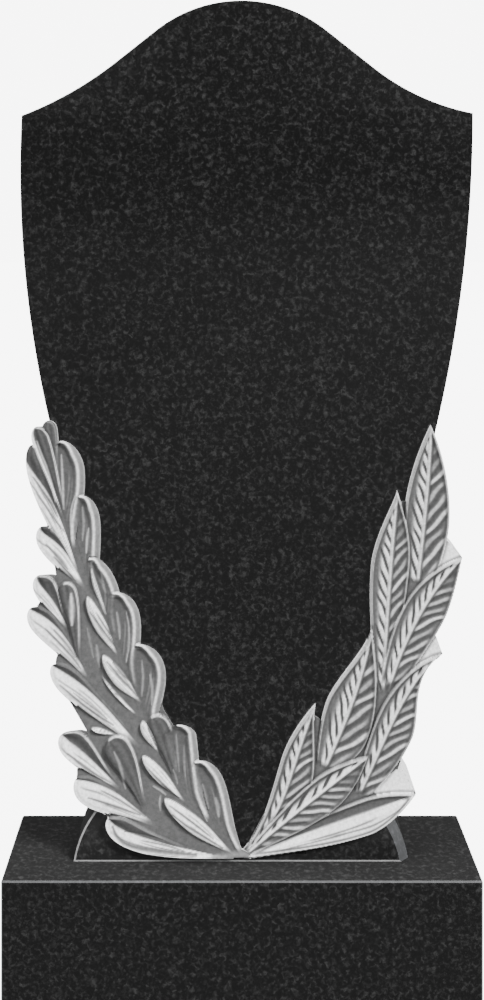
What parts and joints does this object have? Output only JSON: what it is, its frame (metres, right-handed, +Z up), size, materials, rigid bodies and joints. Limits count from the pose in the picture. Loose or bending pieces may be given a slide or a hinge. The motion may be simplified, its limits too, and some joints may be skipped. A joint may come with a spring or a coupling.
{
  "type": "headstone",
  "caption": "Ogee-topped stone headstone with an oak branch and a laurel branch carved in a V on its lower front, standing on a plain rectangular plinth.",
  "frame": {"origin": "centre of the plinth's underside, on the surface that the headstone stands on", "axes": "+Z up, +X to the right of someone who faces the carved front, and the carved front looks to -Y"},
  "size_m": [0.6, 0.2, 1.254],
  "materials": {
    "stele": "polished black gabbro, with the branches left light grey and unpolished",
    "plinth": "polished black gabbro with lighter honed edges"
  },
  "bodies": {
    "root": {"stele": "stele", "plinth": "plinth"}
  },
  "joints": []
}
